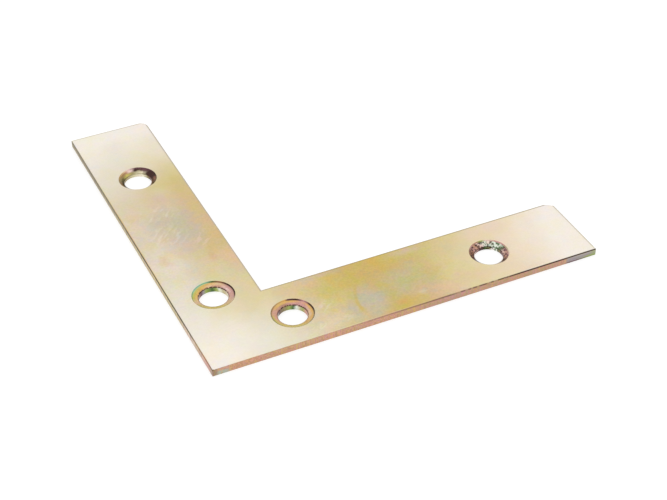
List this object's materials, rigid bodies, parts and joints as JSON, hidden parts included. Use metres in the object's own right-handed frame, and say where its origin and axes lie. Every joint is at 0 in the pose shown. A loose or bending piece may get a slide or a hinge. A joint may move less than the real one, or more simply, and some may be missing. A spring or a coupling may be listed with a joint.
{
  "type": "corner repair plate",
  "caption": "Flat L-shaped steel plate with countersunk screw holes along both arms, for bracing or mending the corner joint of a wooden frame.",
  "frame": {"origin": "point where the two rows of screw holes cross, on the flat back face", "axes": "+X along one arm, +Y along the other arm, +Z out of the countersunk front face"},
  "size_m": [0.077, 0.077, 0.0015],
  "materials": {
    "zinc_plate": "satin yellow-passivated zinc with faint green and pink tints"
  },
  "bodies": {
    "root": {"plate": "zinc_plate"}
  },
  "joints": []
}
